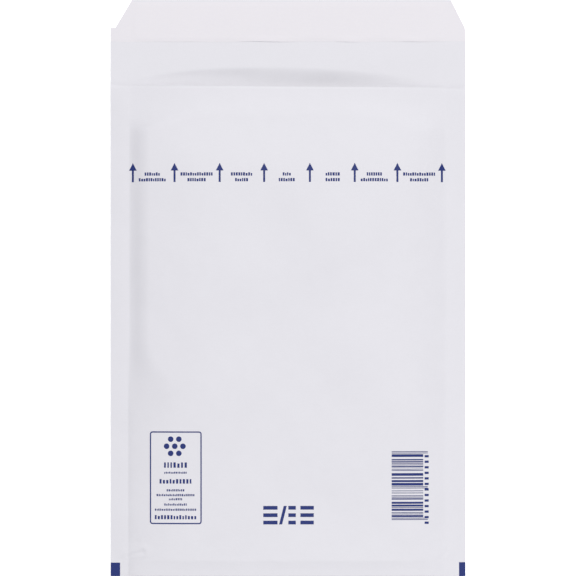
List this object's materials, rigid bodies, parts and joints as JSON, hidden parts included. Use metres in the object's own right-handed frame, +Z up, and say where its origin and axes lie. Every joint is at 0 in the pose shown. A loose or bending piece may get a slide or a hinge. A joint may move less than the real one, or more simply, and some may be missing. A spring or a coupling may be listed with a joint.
{
  "type": "padded envelope",
  "caption": "White paper mailing envelope lined with bubble film, flap open, with a peel-off strip over its adhesive and blue printing on the panel that faces up.",
  "frame": {"origin": "on the floor, under the middle of the whole length with the flap open", "axes": "+X across the envelope, +Y towards the open flap, +Z up out of the printed panel"},
  "size_m": [0.2, 0.325, 0.0128],
  "materials": {
    "white_paper": "smooth white kraft paper, matt, with fine fibres",
    "bubble_film": "clear polyethylene bubble film, glossy",
    "hot_melt": "pressure-sensitive adhesive, slightly shiny",
    "release_paper": "siliconed white paper, satin",
    "blue_ink": "dark blue printing ink, matt"
  },
  "bodies": {
    "root": {"paper_envelope": "white_paper", "bubble_lining": "bubble_film", "adhesive_strip": "hot_melt", "release_liner": "release_paper", "printed_arrow_1": "blue_ink", "printed_arrow_2": "blue_ink", "printed_arrow_3": "blue_ink", "printed_arrow_4": "blue_ink", "printed_arrow_5": "blue_ink", "printed_arrow_6": "blue_ink", "printed_arrow_7": "blue_ink", "printed_arrow_8": "blue_ink", "printed_label_frame": "blue_ink", "printed_bar_field": "blue_ink", "printed_block_1": "blue_ink", "printed_block_2": "blue_ink", "printed_block_3": "blue_ink", "printed_slanted_bar": "blue_ink", "printed_web_mark_left": "blue_ink", "printed_web_mark_right": "blue_ink"}
  },
  "joints": []
}
